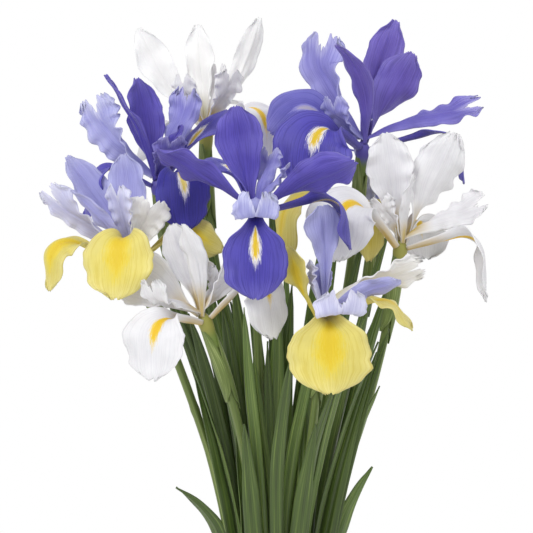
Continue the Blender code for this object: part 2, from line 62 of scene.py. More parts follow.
FLOOR_EASE = 1.5 * MM
LIP = 2 * MM
WALL_ROWS = 40
LATHE_STEPS = 96


def colour(code):
    """The linear colour of a hex code."""
    parts = [int(code[i:i + 2], 16) / 255 for i in (1, 3, 5)]
    return (*[part / 12.92 if part <= .04045 else ((part + .055) / 1.055) ** 2.4 for part in parts], 1)


def through(points, at):
    """A smooth value through (place, value) pairs that never overshoots them."""
    if at <= points[0][0]:
        return points[0][1]
    for i, ((left, low), (right, high)) in enumerate(zip(points, points[1:])):
        if at <= right:
            break
    else:
        return points[-1][1]

    def slope(j):
        if j <= 0 or j >= len(points) - 1:
            return 0
        before = (points[j][1] - points[j - 1][1]) / (points[j][0] - points[j - 1][0])
        after = (points[j + 1][1] - points[j][1]) / (points[j + 1][0] - points[j][0])
        return 0 if before * after <= 0 else 2 * before * after / (before + after)

    run = right - left
    t = (at - left) / run
    rise, fall = slope(i) * run, slope(i + 1) * run
    return (low * (2 * t ** 3 - 3 * t ** 2 + 1) + rise * (t ** 3 - 2 * t ** 2 + t)
            + high * (3 * t ** 2 - 2 * t ** 3) + fall * (t ** 3 - t ** 2))


def smooth_step(low, high, at):
    """0 below low, 1 above high, and a soft rise between them."""
    share = min(1, max(0, (at - low) / (high - low)))
    return share * share * (3 - 2 * share)


def finish(name, roughness):
    """A new material with its Principled shader, and short ways to add and join its nodes."""
    made = bpy.data.materials.new(name)
    made.use_nodes = True
    tree = made.node_tree
    shader = tree.nodes["Principled BSDF"]
    shader.inputs["Roughness"].default_value = roughness

    def node(kind, **settings):
        new = tree.nodes.new(kind)
        for key, value in settings.items():
            if key in new.bl_rna.properties:
                setattr(new, key, value)
            else:
                new.inputs[key.replace("_", " ")].default_value = value
        return new

    def join(out, into):
        tree.links.new(out, into)
    return made, shader, node, join


def ramp(node, stops, smooth=False):
    """A colour ramp from (place, colour) stops."""
    made = node("ShaderNodeValToRGB")
    made.color_ramp.interpolation = "EASE" if smooth else "LINEAR"
    marks = made.color_ramp.elements
    while len(marks) < len(stops):
        marks.new(0.5)
    for mark, (place, tint) in zip(marks, stops):
        mark.position = place
        mark.color = tint
    return made


def scaled(node, join, source, scale):
    """A pattern's coordinates, stretched along each axis."""
    made = node("ShaderNodeMapping")
    made.inputs["Scale"].default_value = scale
    join(source, made.inputs["Vector"])
    return made.outputs["Vector"]


def grey(amount):
    """A grey of this amount as a colour."""
    return (amount, amount, amount, 1)


neck = MOUTH_RADIUS + VASE_WALL
half_wall = VASE_WALL / 2
wall_line = ((0, FOOT_RADIUS), (FOOT_RISE, FOOT_RADIUS + FOOT_FLARE),
             (BELLY_HEIGHT * .45, BELLY_RADIUS - UNDER_BELLY), (BELLY_HEIGHT, BELLY_RADIUS),
             (BELLY_HEIGHT * 1.4, BELLY_RADIUS - OVER_BELLY), (VASE_HEIGHT * .76, neck + NECK_EASE),
             (VASE_HEIGHT * .9, neck), (VASE_HEIGHT - LIP, neck))
vase = bmesh.new()
line = [Vector((0, 0, FOOT_HOLLOW)), Vector((FOOT_RADIUS - FOOT_RING - MM, 0, FOOT_HOLLOW)),
        Vector((FOOT_RADIUS - FOOT_RING, 0, 0))]
heights = [(VASE_HEIGHT - LIP) * (i / WALL_ROWS) for i in range(WALL_ROWS + 1)]
line += [Vector((through(wall_line, z), 0, z)) for z in heights]
line += [Vector((neck - half_wall + half_wall * math.cos(a), 0, VASE_HEIGHT - LIP + LIP * math.sin(a)))
         for a in (math.pi * i / 6 for i in range(1, 6))]
line += [Vector((through(wall_line, z) - VASE_WALL, 0, z))
         for z in reversed(heights) if z > VASE_FLOOR + MM]
line += [Vector((FOOT_RADIUS - FLOOR_EASE, 0, VASE_FLOOR)), Vector((0, 0, VASE_FLOOR))]
corners = [vase.verts.new(point) for point in line]
edges = [vase.edges.new(pair) for pair in zip(corners, corners[1:])]
bmesh.ops.spin(vase, geom=corners + edges, cent=(0, 0, 0), axis=(0, 0, 1), angle=math.tau,
               steps=LATHE_STEPS, use_merge=True)
bmesh.ops.remove_doubles(vase, verts=vase.verts, dist=WELD)
bmesh.ops.recalc_face_normals(vase, faces=vase.faces)


def place(shape, name, finishes, smooth=True):
    """Makes a shape an object at the origin."""
    mesh = bpy.data.meshes.new(name)
    shape.to_mesh(mesh)
    shape.free()
    if smooth:
        mesh.shade_smooth()
    made = bpy.data.objects.new(name, mesh)
    bpy.context.scene.collection.objects.link(made)
    for each in finishes:
        mesh.materials.append(each)
    return made


glaze, shader, node, join = finish("pale_glaze", .22)
shader.inputs["Coat Weight"].default_value = .5
shader.inputs["Coat Roughness"].default_value = .08
spot = node("ShaderNodeTexCoord").outputs["Object"]
cloud = node("ShaderNodeTexNoise", Scale=22.0, Detail=4.0)
join(spot, cloud.inputs["Vector"])
tint = ramp(node, ((.3, colour("#d9d5c8")), (.7, colour("#efece3"))))
join(cloud.outputs["Fac"], tint.inputs["Fac"])
speck = node("ShaderNodeTexNoise", Scale=420.0, Detail=2.0)
join(spot, speck.inputs["Vector"])
dots = ramp(node, ((.69, grey(0)), (.74, grey(.7))))
join(speck.outputs["Fac"], dots.inputs["Fac"])
specked = node("ShaderNodeMixRGB", Color2=colour("#8a7558"))
join(dots.outputs["Color"], specked.inputs["Fac"])
join(tint.outputs["Color"], specked.inputs["Color1"])
join(specked.outputs["Color"], shader.inputs["Base Color"])
rings = node("ShaderNodeTexNoise", Scale=1.0, Detail=3.0)
join(scaled(node, join, spot, (6, 6, 260)), rings.inputs["Vector"])
dent = node("ShaderNodeBump", Strength=.25, Distance=.0006)
join(rings.outputs["Fac"], dent.inputs["Height"])
join(dent.outputs["Normal"], shader.inputs["Normal"])

clay, shader, node, join = finish("bare_clay", .8)
spot = node("ShaderNodeTexCoord").outputs["Object"]
sand = node("ShaderNodeTexNoise", Scale=900.0, Detail=6.0)
join(spot, sand.inputs["Vector"])
tint = ramp(node, ((.3, colour("#9c8468")), (.7, colour("#bda68a"))))
join(sand.outputs["Fac"], tint.inputs["Fac"])
join(tint.outputs["Color"], shader.inputs["Base Color"])
dent = node("ShaderNodeBump", Strength=.5, Distance=.0003)
join(sand.outputs["Fac"], dent.inputs["Height"])
join(dent.outputs["Normal"], shader.inputs["Normal"])

for face in vase.faces:
    if face.calc_center_median().z < GLAZE_LINE:
        face.material_index = 1
pot = place(vase, "turned_vase", [glaze, clay])
pot.data.set_sharp_from_angle(angle=math.radians(50))
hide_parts("vase")
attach(pot, "root")

# ---- The stems ------------------------------------------------------------------------------------------
# Each stem is round, smooth and pithy, cut square at its foot.  Two long green bracts, the spathe, wrap its
# top and close in on the flower tube.  The stems lean together at a waist inside the vase and part again.
WAIST_HEIGHT = 120 * MM
WAIST_SHARE = 0.755
FOOT_SPREAD = 0.14
BUNDLE_TWIST = math.radians(16)
STEM_RADIUS = 2.3 * MM
STEM_FOOT = VASE_FLOOR + 1.5 * MM
STEM_SLIM = .92             # a stem between its joints, as a share of STEM_RADIUS
STEM_SWELL = .5 * MM        # how far it swells below the flower
JOINT_SWELL = .12           # how far its joint swells, as a share of STEM_RADIUS
JOINT_DEPTH = 1.7           # how far below the flower its joint is, in lengths of a bract
JOINT_LENGTH = 2 * MM
NECK_LENGTH = 52 * MM
NECK_BEND = 45 * MM
STRAIGHT_STEPS = 30
BEND_STEPS = 24
TUBE_HEIGHTS = range(-12, 8, 2)     # along the flower's own axis, in mm
BRACT_LENGTH = 46 * MM
BRACT_THICKNESS = .35 * MM
BRACT_WRAP = 105            # degrees to either side of its middle
BRACT_ROWS, BRACT_COLUMNS = 26, 14
BRACTS = ((.6, 1.02, 0), (3.5, .93, .12))   # its turn in radians, its length and its start in bract lengths
BRACT_OUTLINE = ((0, .30), (.15, .85), (.4, 1.0), (.7, .8), (.9, .4), (1, .04))
HEADS = {       # the flower's foot in mm, and the side and angle of its lean
    "blue_centre": ((-12, -40, 359.5), (0, 12)),
    "blue_left": ((-61, 10, 371), (-90, 8)),
    "blue_right": ((42, 25, 389), (30, 8)),
    "white_back": ((-38, 52, 395), (180, 6)),
    "white_front": ((-36, -45, 308), (-60, 24)),
    "white_right": ((60, 2, 340), (80, 8)),
    "lilac_left": ((-70, -24, 335), (-75, 24)),
    "lilac_front": ((20, -48, 311), (10, 16)),
    "lilac_back": ((50, 46, 350), (90, 7)),
}


def bundle_point(slot, z):
    """Where the stem that stands at slot in the vase's mouth is, at height z."""
    if z < WAIST_HEIGHT:
        share = WAIST_SHARE + FOOT_SPREAD * (1 - z / WAIST_HEIGHT) ** 2
    else:
        share = WAIST_SHARE + (1 - WAIST_SHARE) * ((z - WAIST_HEIGHT) / (VASE_HEIGHT - WAIST_HEIGHT)) ** 2
    turned = Matrix.Rotation(BUNDLE_TWIST * (z - VASE_HEIGHT) / VASE_HEIGHT, 2) @ Vector(slot)
    return Vector((*(turned * share), z))


def slot_of(point):
    """The place in the vase's mouth of the stem that passes through a point above it."""
    share = bundle_point((1, 0), point.z).xy.length
    back = Matrix.Rotation(-BUNDLE_TWIST * (point.z - VASE_HEIGHT) / VASE_HEIGHT, 2)
    return back @ point.xy / share


def heading(azimuth, pitch):
    """The direction at an azimuth, 0 to the front and 90 to the right, and a pitch above the level."""
    a, p = math.radians(azimuth), math.radians(pitch)
    return Vector((math.sin(a) * math.cos(p), -math.cos(a) * math.cos(p), math.sin(p)))


def flower_axes(name):
    """Turns a flower's own directions to the world's: its Z runs up the flower tube."""
    side, angle = HEADS[name][1]
    up = heading(side, 90 - angle)
    right = Vector((0, 1, 0)).cross(up).normalized()
    return Matrix((right, up.cross(right), up)).transposed()


def stem_line(name):
    """Points up the middle of a stem, from its cut foot to the flower tube."""
    head = Vector(HEADS[name][0]) * MM
    knee = head - flower_axes(name) @ Vector((0, 0, NECK_LENGTH))
    slot = slot_of(knee)
    start_z = knee.z - NECK_BEND
    start = bundle_point(slot, start_z)
    straight = [bundle_point(slot, STEM_FOOT + (start_z - STEM_FOOT) * i / STRAIGHT_STEPS)
                for i in range(STRAIGHT_STEPS)]
    return straight + [start * (1 - t) ** 2 + knee * 2 * t * (1 - t) + head * t * t
                       for t in (i / BEND_STEPS for i in range(BEND_STEPS + 1))]


def rail(line):
    """A way to walk a line: the point, the direction and a level side at any share of its length."""
    steps = [0]
    for a, b in zip(line, line[1:]):
        steps.append(steps[-1] + (b - a).length)

    def walk(share):
        at = max(0, min(1, share)) * steps[-1]
        i = max(j for j in range(len(steps) - 1) if steps[j] <= at or j == 0)
        part = (at - steps[i]) / (steps[i + 1] - steps[i])
        along = (line[min(i + 2, len(line) - 1)] - line[max(i - 1, 0)]).normalized()
        side = Vector((0, 1, 0)).cross(along).normalized()
        return line[i].lerp(line[i + 1], part), along, side
    return walk, steps[-1]


def sheet(name, shape, rows, columns, thickness, finishes, mark=None):
    """A thin sheet.  shape(u, v) places it, with u from 0 to 1 up it and v from -1 to 1 across it, and
    mark(u, v) is kept on it as the attribute that its finish reads."""
    grid = bmesh.new()
    uv = grid.loops.layers.uv.new("UVMap")
    signal = grid.verts.layers.float.new("signal")
    bmesh.ops.create_grid(grid, x_segments=columns, y_segments=rows, size=1)
    for face in grid.faces:
        for corner in face.loops:
            corner[uv].uv = ((corner.vert.co.x + 1) / 2, (corner.vert.co.y + 1) / 2)
    for vert in grid.verts:
        v, u = vert.co.x, (vert.co.y + 1) / 2
        if mark:
            vert[signal] = mark(u, v)
        vert.co = shape(u, v)
    made = place(grid, name, finishes)
    solid = made.modifiers.new("thickness", "SOLIDIFY")
    solid.thickness = thickness
    solid.offset = 0
    return made


def tube(name, line, radius, sides, rows, finishes):
    """A round piece along a line.  radius(share) gives its radius at a share of its length."""
    walk, _ = rail(line)
    grid = bmesh.new()
    uv = grid.loops.layers.uv.new("UVMap")
    bmesh.ops.create_grid(grid, x_segments=sides, y_segments=rows, size=1)
    for face in grid.faces:
        for corner in face.loops:
            corner[uv].uv = ((corner.vert.co.x + 1) / 2, (corner.vert.co.y + 1) / 2)
    for vert in grid.verts:
        turn, share = vert.co.x * math.pi, (vert.co.y + 1) / 2
        point, along, side = walk(share)
        vert.co = point + Matrix.Rotation(turn, 3, along) @ side * radius(share)
    bmesh.ops.remove_doubles(grid, verts=grid.verts, dist=WELD)
    bmesh.ops.holes_fill(grid, edges=grid.edges)
    bmesh.ops.recalc_face_normals(grid, faces=grid.faces)
    return place(grid, name, finishes)


def green_finish(name, dark, mid, pale, streaks, roughness, across):
    """Green tissue: parallel fibres along the piece, blotches of paler green and a waxy bloom."""
    dark, mid, pale = [colour(code) for code in (dark, mid, pale)]
    made, shader, node, join = finish(name, roughness)
    shader.inputs["Sheen Weight"].default_value = .15
    shader.inputs["Subsurface Weight"].default_value = .08
    shader.inputs["Subsurface Radius"].default_value = (.4, 1, .2)
    shader.inputs["Subsurface Scale"].default_value = .0015
    where = node("ShaderNodeTexCoord")
    fibre = node("ShaderNodeTexNoise", Scale=1.0, Detail=5.0, Roughness=.6)
    join(scaled(node, join, where.outputs["UV"], (across, 1.3, 1)), fibre.inputs["Vector"])
    blotch = node("ShaderNodeTexNoise", Scale=1.0, Detail=2.0)
    join(scaled(node, join, where.outputs["UV"], (5, 1.2, 1)), blotch.inputs["Vector"])
    both = node("ShaderNodeMath", operation="MULTIPLY_ADD")
    both.inputs[1].default_value = streaks
    join(fibre.outputs["Fac"], both.inputs[0])
    join(blotch.outputs["Fac"], both.inputs[2])
    low = .5 + streaks * .5
    tint = ramp(node, ((low - .22, dark), (low, mid), (low + .2, pale)), True)
    join(both.outputs["Value"], tint.inputs["Fac"])
    join(tint.outputs["Color"], shader.inputs["Base Color"])
    dent = node("ShaderNodeBump", Strength=.35, Distance=.0003)
    join(fibre.outputs["Fac"], dent.inputs["Height"])
    join(dent.outputs["Normal"], shader.inputs["Normal"])
    return made


stem_green = green_finish("stem_green", "#46571d", "#647634", "#93a35c", .6, .42, 24)
bract_green = green_finish("bract_green", "#4b5c20", "#6c7e3a", "#a0ae6c", .7, .5, 30)
TUBE_TINTS = {
    "blue": ("#6f8440", "#5a50a6"),
    "white": ("#73883c", "#9a9848"),
    "lilac": ("#73883c", "#a8a070"),
}
tube_finishes = {}
for kind, (low_tint, high_tint) in TUBE_TINTS.items():
    made, shader, node, join = finish(f"{kind}_tube", .5)
    split = node("ShaderNodeSeparateXYZ")
    join(node("ShaderNodeTexCoord").outputs["UV"], split.inputs["Vector"])
    tint = ramp(node, ((.25, colour(low_tint)), (.65, colour(high_tint))), True)
    join(split.outputs["Y"], tint.inputs["Fac"])
    join(tint.outputs["Color"], shader.inputs["Base Color"])
    tube_finishes[kind] = made


def throat_radius(share):
    """A flower tube widens up its length and closes at its top."""
    return (2.8 + .9 * smooth_step(.2, .75, share) - 1.8 * smooth_step(.8, 1, share)) * MM


for name in HEADS:
    line = stem_line(name)
    walk, length = rail(line)

    def stem_radius(share):
        below = (1 - share) * length
        swell = 1 - smooth_step(.5, 1, below / BRACT_LENGTH)
        joint = JOINT_SWELL * math.exp(-((below - JOINT_DEPTH * BRACT_LENGTH) / JOINT_LENGTH) ** 2)
        return STEM_RADIUS * (STEM_SLIM + joint) + STEM_SWELL * swell

    stem = tube(f"{name}_stalk", line, stem_radius, 16, 90, [stem_green])
    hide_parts(f"{name}_stem")
    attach(stem, "root")

    up = flower_axes(name) @ Vector((0, 0, 1))
    top = line[-1]
    throat = tube(f"{name}_tube", [top + up * MM * z for z in TUBE_HEIGHTS], throat_radius,
                  20, 16, [tube_finishes[name.split("_")[0]]])
    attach(throat, "root")

    for i, (turn, reach, start) in enumerate(BRACTS):
        def bract_point(u, v):
            share = 1 - (1 - start - u * reach) * BRACT_LENGTH / length
            point, along, side = walk(share)
            half = BRACT_WRAP * through(BRACT_OUTLINE, u)
            puff = (.5 + .75 * math.sin(math.pi * min(1, u * 1.05))) * MM
            away = Matrix.Rotation(turn + math.radians(half) * v, 3, along) @ side
            keel = .35 * MM * math.exp(-(v / .12) ** 2)
            return point + away * (STEM_RADIUS + puff + keel + .3 * MM * i)

        bract = sheet(f"{name}_bract_{i}", bract_point, BRACT_ROWS, BRACT_COLUMNS, BRACT_THICKNESS,
                      [bract_green])
        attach(bract, "root")

# ---- How a petal grows ----------------------------------------------------------------------------------
# Every petal is one thin sheet that leaves the flower tube on a narrow claw and widens to a blade.  Its
# middle line arches, its cross-section is hooped, and its margin ripples where it outgrew its middle.
PETAL_THICKNESS = .45 * MM
PETAL_ROUGHNESS = .55
SPINE_STEPS = 48
CURL_START, CURL_END = .45, .85     # where along a petal a curled margin starts and is fully curled
FLATTEST = .001                     # the smallest bend across a petal, in radians
NOTCH_WIDTH = .34                   # shares of half a petal's width
RIB_WIDTH = .09
VEIN_STRETCH = (56, 3, 1)           # how much finer than the petal the veins are, across it and along it
FINE_STRETCH = (130, 11, 1)


def petal_line(root, azimuth, sway, pitch, length, twist):
    """The middle line of a petal, with the way across it and the way to its underside at each point."""
    points, sides, unders = [root.copy()], [], []
    for i in range(SPINE_STEPS + 1):
        u = i / SPINE_STEPS
        along = heading(azimuth + sway * u, pitch(u))
        level = heading(azimuth + sway * u + 90, 0)
        across = Matrix.Rotation(math.radians(twist) * smooth_step(.05, .5, u), 3, along) @ level
        sides.append(across)
        unders.append(across.cross(along).normalized())
        points.append(points[-1] + along * length / SPINE_STEPS)

    def spine(u):
        step = max(0, min(SPINE_STEPS - 1e-6, u * SPINE_STEPS))
        i = int(step)
        return [row[i].lerp(row[i + 1], step - i) for row in (points, sides, unders)]
    return spine


def ripple(u, side, seed, waves):
    """How far a margin stands up or down at u, from -1 to 1: uneven waves, different on either side."""
    phase = noise.noise(Vector((seed * 3.1, side * 5.7, .5))) * 3
    even = math.sin(math.tau * (waves * u + phase + side * .21))
    return .6 * even + .9 * noise.noise(Vector((u * waves * 1.7, side * 4.3, seed * 1.9)))


def petal_shape(spine, width, kind, touch, seed):
    """The point of a petal at (u, v).  touch holds what is particular to one petal."""
    curl = touch.get("curl", (0, 0))
    waves = touch.get("waves", kind["waves"])
    depth = touch.get("ripple", kind["ripple"]) * MM
    outline = touch.get("outline", kind["outline"])
    jag = touch.get("jag", kind["jag"])
    notch = touch.get("notch", kind["notch"])
    spread = kind["spread"] * MM

    def shape(u, v):
        side = -1 if v < 0 else 1
        edge = abs(v)
        fray = jag * (noise.noise(Vector((v * 9, seed, 2))) + .6 * noise.noise(Vector((v * 23, seed, 7))))
        dip = notch * max(0, 1 - edge / NOTCH_WIDTH) ** 1.2
        trim = (kind["tip_round"] * edge ** 2.2 + dip + fray) * u ** 3
        point, across, under = spine(u - trim)
        half = width * through(outline, u)
        uneven = noise.noise(Vector((u * 13, side * 3, seed))) * smooth_step(.3, .6, u)
        half *= 1 + edge * (.05 + jag * 1.2) * uneven
        rolled = curl[side > 0]
        bend = math.radians(through(kind["hoop"], u) + rolled * smooth_step(CURL_START, CURL_END, u))
        if abs(bend) < FLATTEST:
            bend = FLATTEST
        turn = bend * v * (edge ** .6 if rolled else 1)
        radius = half * v / turn if abs(turn) > 1e-6 else half / bend
        out = across * math.cos(turn) + under * math.sin(turn)
        face = across * math.sin(turn) - under * math.cos(turn)
        point = point + across * radius * math.sin(turn) + under * radius * (1 - math.cos(turn))
        lift = depth * edge ** 2.4 * ripple(u, side, seed, waves) * smooth_step(.25, .6, u)
        swell = noise.noise(Vector((u * 4.1, v * 1.3, seed * 2.3))) * smooth_step(.2, .5, u)
        lift += kind["swell"] * MM * swell
        lift += kind["pleat"] * MM * edge * math.sin(v * kind["pleats"] * math.pi) * smooth_step(.15, .4, u)
        midrib = math.exp(-(v / RIB_WIDTH) ** 2) * smooth_step(.02, .2, u) * (1 - smooth_step(.8, 1, u))
        lift -= kind["rib"] * MM * midrib
        parting = spread * smooth_step(.72, 1, u) * smooth_step(0, .3, edge)
        return point + face * lift + across * side * parting
    return shape


def petal_finish(name, claw, heart, margin, vein, veins, tip=None, pale=None, spot=None):
    """Petal tissue: it shades from the claw to the margin, with fine veins that fan out along it.  On a
    fall, the attribute signal draws a spot of yellow with a pale feathered border."""
    claw, heart, margin, vein, tip = [colour(code) for code in (claw, heart, margin, vein, tip or margin)]
    made, shader, node, join = finish(name, PETAL_ROUGHNESS)
    shader.inputs["Sheen Weight"].default_value = .12
    shader.inputs["Subsurface Weight"].default_value = .18
    shader.inputs["Subsurface Radius"].default_value = (1, .8, .9)
    shader.inputs["Subsurface Scale"].default_value = .002
    where = node("ShaderNodeTexCoord")
    split = node("ShaderNodeSeparateXYZ")
    join(where.outputs["UV"], split.inputs["Vector"])
    vein_lines = node("ShaderNodeTexNoise", Scale=1.0, Detail=3.0, Roughness=.55, Distortion=.25)
    join(scaled(node, join, where.outputs["UV"], VEIN_STRETCH), vein_lines.inputs["Vector"])
    fine = node("ShaderNodeTexNoise", Scale=1.0, Detail=4.0, Roughness=.65)
    join(scaled(node, join, where.outputs["UV"], FINE_STRETCH), fine.inputs["Vector"])
    cloud = node("ShaderNodeTexNoise", Scale=65.0, Detail=3.0)
    join(where.outputs["Object"], cloud.inputs["Vector"])
    length_way = ramp(node, ((0, claw), (.12, claw), (.40, heart), (.8, heart), (1, tip)), True)
    join(split.outputs["Y"], length_way.inputs["Fac"])
    across_way = ramp(node, ((0, grey(.9)), (.16, grey(.35)), (.42, grey(0)), (.58, grey(0)),
                             (.84, grey(.35)), (1, grey(.9))), True)
    join(split.outputs["X"], across_way.inputs["Fac"])
    body = node("ShaderNodeMixRGB", Color2=margin)
    join(across_way.outputs["Color"], body.inputs["Fac"])
    join(length_way.outputs["Color"], body.inputs["Color1"])
    lines = ramp(node, ((.40, grey(1)), (.50, grey(.25)), (.62, grey(0))), True)
    join(vein_lines.outputs["Fac"], lines.inputs["Fac"])
    strength = node("ShaderNodeMath", operation="MULTIPLY")
    strength.inputs[1].default_value = veins
    join(lines.outputs["Color"], strength.inputs[0])
    veined = node("ShaderNodeMixRGB", Color2=vein)
    join(strength.outputs["Value"], veined.inputs["Fac"])
    join(body.outputs["Color"], veined.inputs["Color1"])
    shaded = node("ShaderNodeMixRGB", blend_type="MULTIPLY")
    shaded.inputs["Fac"].default_value = .55
    mottle = ramp(node, ((.3, grey(.78)), (.7, grey(1))), True)
    join(cloud.outputs["Fac"], mottle.inputs["Fac"])
    join(veined.outputs["Color"], shaded.inputs["Color1"])
    join(mottle.outputs["Color"], shaded.inputs["Color2"])
    last = shaded
    if spot:
        signal = node("ShaderNodeAttribute", attribute_name="signal")
        feather = node("ShaderNodeMath", operation="MULTIPLY_ADD")
        feather.inputs[1].default_value = 1.5
        join(fine.outputs["Fac"], feather.inputs[0])
        join(signal.outputs["Fac"], feather.inputs[2])
        for low, high, tint in ((1.0, 1.30, pale), (1.28, 1.50, spot)):
            mask = node("ShaderNodeMapRange", interpolation_type="SMOOTHSTEP")
            mask.inputs["From Min"].default_value = low
            mask.inputs["From Max"].default_value = high
            join(feather.outputs["Value"], mask.inputs["Value"])
            patch = node("ShaderNodeMixRGB", Color2=colour(tint))
            join(mask.outputs["Result"], patch.inputs["Fac"])
            join(last.outputs["Color"], patch.inputs["Color1"])
            last = patch
    join(last.outputs["Color"], shader.inputs["Base Color"])
    crepe = node("ShaderNodeMath", operation="MULTIPLY_ADD")
    crepe.inputs[1].default_value = .5
    join(fine.outputs["Fac"], crepe.inputs[0])
    join(vein_lines.outputs["Fac"], crepe.inputs[2])
    dent = node("ShaderNodeBump", Strength=.45, Distance=.0005)
    join(crepe.outputs["Value"], dent.inputs["Height"])
    join(dent.outputs["Normal"], shader.inputs["Normal"])
    gloss = ramp(node, ((.3, grey(PETAL_ROUGHNESS - .08)), (.7, grey(PETAL_ROUGHNESS + .12))))
    join(fine.outputs["Fac"], gloss.inputs["Fac"])
    join(gloss.outputs["Color"], shader.inputs["Roughness"])
    return made


def tongue(start, end, width):
    """A signal shaped like a tongue: 1 down its middle, falling to 0 outside it."""
    def mark(u, v):
        share = (u - start) / (end - start)
        if share <= 0 or share >= 1.25:
            return 0
        half = width * math.sin(math.pi * min(1, share / 1.25) ** .8) + .01
        ends = smooth_step(0, .15, share) * (1 - smooth_step(.55, 1.2, share))
        return max(0, 1 - abs(v) / (half * 2)) * ends
    return mark


def grow(name, whorl, number, spec, kind, pitch, touch):
    """One petal of a flower, standing for its whorl's node.  Its spec is its azimuth, its pitch at the root
    and at the end, its length and width as shares of the whorl's, its twist and its sway to the side, and
    where a fall turns down or how far a crest rears up.  The angles are in degrees."""
    azimuth, rise, end, long, wide, twist, sway, turn = spec
    radius, height = kind["root"]
    axes = flower_axes(name)
    head = Vector(HEADS[name][0]) * MM
    root = head + axes @ (heading(azimuth, 0) * radius * MM + Vector((0, 0, height * MM)))
    spine = petal_line(root, azimuth, sway, pitch(rise, end, turn), kind["length"] * MM * long, twist)
    seed = sum(ord(letter) for letter in name + whorl) * .37 + number * 11.3
    shape = petal_shape(spine, kind["width"] * MM * wide, kind, touch, seed)
    made = sheet(f"{name}_{whorl}_{number}", shape, kind["rows"], kind["columns"], PETAL_THICKNESS,
                 [touch["finish"]], touch.get("signal"))
    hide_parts(f"{name}_{whorl}")
    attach(made, "root")
    return made


# ---- The falls ------------------------------------------------------------------------------------------
# The three outer petals: a long haft with raised sides that reaches out, and a round blade that hangs from
# it with the yellow signal at its top.  The blade is broad, velvety and a little waved.
FALL = dict(length=62, width=15.5, root=(4.0, 2.0), tip_round=.05, notch=.02, jag=.022, spread=0,
            outline=((0, .20), (.15, .25), (.32, .31), (.42, .50), (.50, .82), (.58, .98), (.69, 1.04),
                     (.79, 1.0), (.87, .90), (.93, .74), (.97, .55), (1, .28)),
            hoop=((0, -110), (.36, -90), (.50, -10), (.60, 14), (1, 24)), ripple=1.8, waves=3.2, swell=1.3,
            pleat=.06, pleats=5, rib=.35, rows=56, columns=30)


def fall_pitch(rise, end, turn):
    """A fall reaches out at its rise, and its blade bends down round the turn."""
    return lambda u: rise + (end - rise) * smooth_step(turn - .2, turn + .2, u)


blue_fall = petal_finish("blue_fall", "#6f67bc", "#443bac", "#625bbc", "#2a2286", .6, pale="#efecec",
                         spot="#dcb814")
pale_fall = petal_finish("pale_fall", "#7c78c4", "#5f5cb8", "#807ecb", "#4540a0", .55, pale="#8886cc",
                         spot="#a8a2b8")
# Painted shade: a darker copy of the blue fall, worn by one fall of the left blue flower where it lies in
# shade.
painted_shade_blue_fall = petal_finish("painted_shade_blue_fall", "#4a42a0", "#2b2590", "#403ab0", "#1b1668", .55,
                              pale="#e4e0ea", spot="#d8c060")
white_fall = petal_finish("white_fall", "#c8a63a", "#e6e5e9", "#f0eff2", "#cfcdd6", .3, pale="#e8c420",
                          spot="#e4b808")
yellow_fall = petal_finish("yellow_fall", "#cbbb48", "#dfcf62", "#e8dd90", "#cdb634", .45,
                           tip="#e6da88", pale="#dfc83c", spot="#dcbe1c")
blue_signal = tongue(.36, .76, .14)
white_signal = tongue(.24, .76, .125)
yellow_signal = tongue(.28, .90, .30)
BLUE = dict(finish=blue_fall, signal=blue_signal)
WHITE = dict(finish=white_fall, signal=white_signal)
YELLOW = dict(finish=yellow_fall, signal=yellow_signal)

FALLS = {
    "blue_centre": (((0, 8, -86, .94, 1, 0, 0, .32), BLUE),
                    ((100, 14, -84, 1.0, .95, -20, -45, .6), BLUE),
                    ((-150, 50, 10, .85, .8, 0, 0, .5), BLUE)),
    # The first fall of this flower wears the darker copy of the blue fall: painted shade.
    "blue_left": (((24, 20, -86, .92, .92, 0, 0, .49), dict(finish=painted_shade_blue_fall, signal=blue_signal)),
                  ((-72, 25, -80, .88, .9, 0, 0, .5), BLUE),
                  ((128, 52, 30, .9, .8, 0, 0, .6), BLUE)),
    "blue_right": (((-44, 28, -78, .98, 1.3, -35, 0, .49), dict(BLUE, curl=(0, -40))),
                   ((92, 15, -88, 1.12, .8, 0, 0, .62), BLUE),
                   ((-84, 44, -46, .92, .75, -60, 0, .60), dict(finish=pale_fall, signal=blue_signal))),
    "white_back": (((56, 34, -86, 1.05, 1, 0, 0, .49), WHITE),
                   ((-72, 16, -60, .7, .9, 0, 0, .5), WHITE),
                   ((172, 44, 0, .85, .9, 0, 0, .5), WHITE)),
    "white_front": (((-44, 12, -88, .92, 1.15, -15, 0, .49), dict(WHITE, curl=(0, -50))),
                    ((74, 46, -84, .97, .9, 28, 0, .5), WHITE),
                    ((-165, 56, 30, .8, .8, 0, 0, .5), WHITE)),
    "white_right": (((72, 16, -88, 1.1, 1, -20, 0, .52), WHITE),
                    ((-52, 46, -86, 1.14, 1.15, -30, 0, .55), WHITE),
                    ((160, 35, -60, .9, .9, 0, 0, .5), WHITE)),
    "lilac_left": (((-14, 42, -76, .97, 1.1, 0, 0, .45), YELLOW),
                   ((-72, 24, -87, 1, .72, -15, 0, .6), YELLOW),
                   ((100, 40, -30, .75, .66, 60, 0, .5), YELLOW)),
    "lilac_front": (((6, 4, -80, .93, 1.28, 0, 0, .40), YELLOW),
                    ((78, 20, -62, .8, .8, 0, 0, .62), YELLOW),
                    ((-64, 62, 74, .6, .42, 40, 0, .5), YELLOW)),
    "lilac_back": (((-8, 30, -86, 1.0, .5, 0, 0, .5), YELLOW),
                   ((64, 62, 8, .7, .6, 0, -40, .5), YELLOW),
                   ((-100, 24, -86, 1.28, .85, -20, 20, .52), YELLOW)),
}
for name, petals in FALLS.items():
    for number, (spec, touch) in enumerate(petals):
        grow(name, "falls", number, spec, FALL, fall_pitch, touch)

